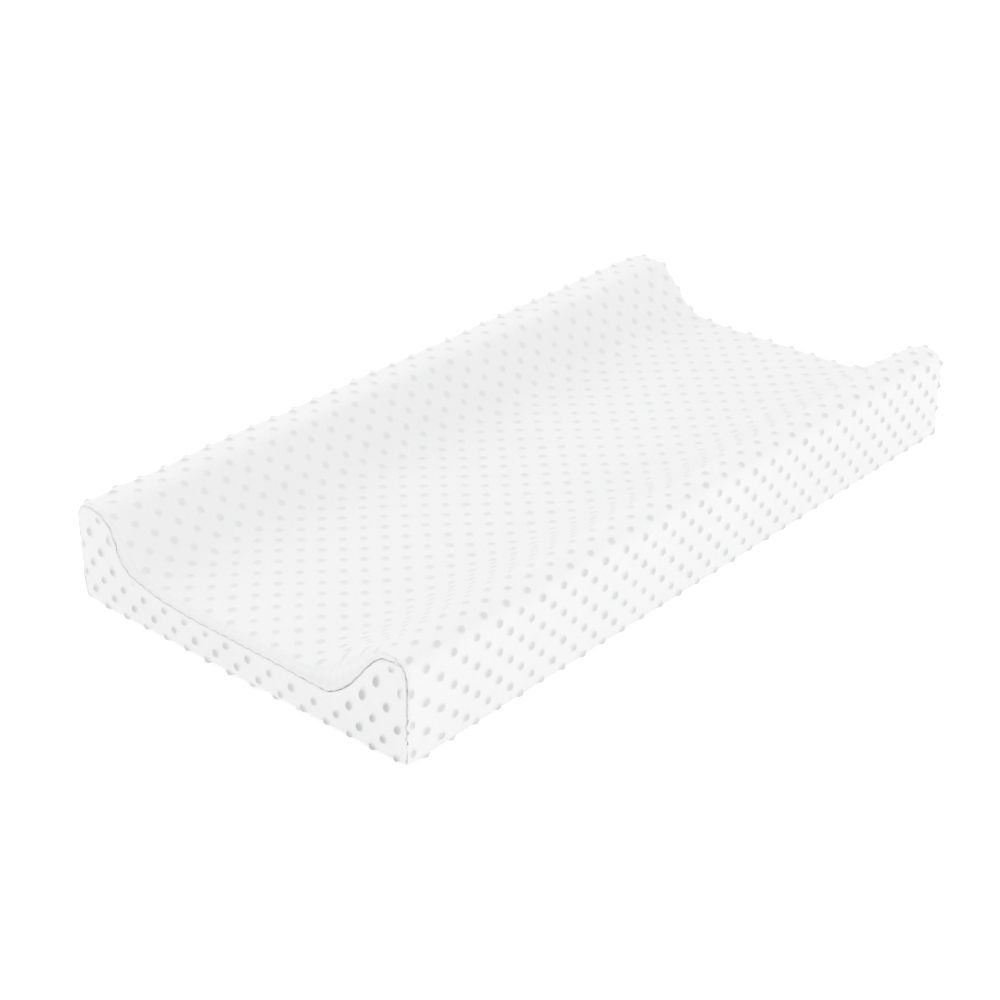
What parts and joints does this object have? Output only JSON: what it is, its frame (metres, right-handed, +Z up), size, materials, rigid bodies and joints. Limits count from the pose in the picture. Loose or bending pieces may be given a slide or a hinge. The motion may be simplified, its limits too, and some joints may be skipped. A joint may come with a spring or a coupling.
{
  "type": "changing pad",
  "caption": "Contoured foam changing pad with raised side bolsters, zipped wipe-clean liner and a lift-off fitted dimple-dot plush cover.",
  "frame": {"origin": "centre of the underside, on the surface that the pad stands on", "axes": "+Y along the pad from the foot end to the head end, +X across it, +Z up"},
  "size_m": [0.4136, 0.8192, 0.1052],
  "materials": {
    "foam": "matte",
    "vinyl": "satin",
    "grip_sheet": "matte",
    "zip_tape": "matte",
    "zip_coil": "satin",
    "zip_metal": "satin",
    "plush": "matte",
    "thread": "matte",
    "elastic": "matte"
  },
  "bodies": {
    "pad": {"foam_centre": "foam", "foam_bolster_left": "foam", "foam_bolster_right": "foam", "liner_top": "vinyl", "liner_foot_end": "vinyl", "liner_head_end": "vinyl", "liner_base_left": "grip_sheet", "liner_base_right": "grip_sheet", "zip_tape_left": "zip_tape", "zip_tape_right": "zip_tape", "zip_coil_left": "zip_coil", "zip_coil_right": "zip_coil", "zip_stops": "zip_metal"},
    "cover": {"cover_main_panel": "plush", "cover_foot_panel": "plush", "cover_head_panel": "plush", "cover_foot_seam": "plush", "cover_head_seam": "plush", "cover_foot_stitches": "thread", "cover_head_stitches": "thread", "cover_hem": "plush", "hem_elastic": "elastic", "hem_stitches": "thread"},
    "zip_slider": {"zip_slider": "zip_metal"},
    "zip_pull": {"zip_pull": "zip_metal"}
  },
  "joints": [
    {"name": "cover_lift", "type": "slide", "parent": "pad", "child": "cover", "axis": [0, 0, 1], "range_m": [0, 0.15], "deforming": ["cover_hem", "hem_elastic", "hem_stitches"]},
    {"name": "zip_slide", "type": "slide", "parent": "pad", "child": "zip_slider", "axis": [0, -1, 0], "range_m": [0, 0.57], "deforming": ["zip_coil_left", "zip_coil_right"]},
    {"name": "zip_pull_hinge", "type": "hinge", "parent": "zip_slider", "child": "zip_pull", "pos_m": [0, 0.2895, 0.0018], "axis": [1, 0, 0], "range_deg": [0, 180]}
  ]
}
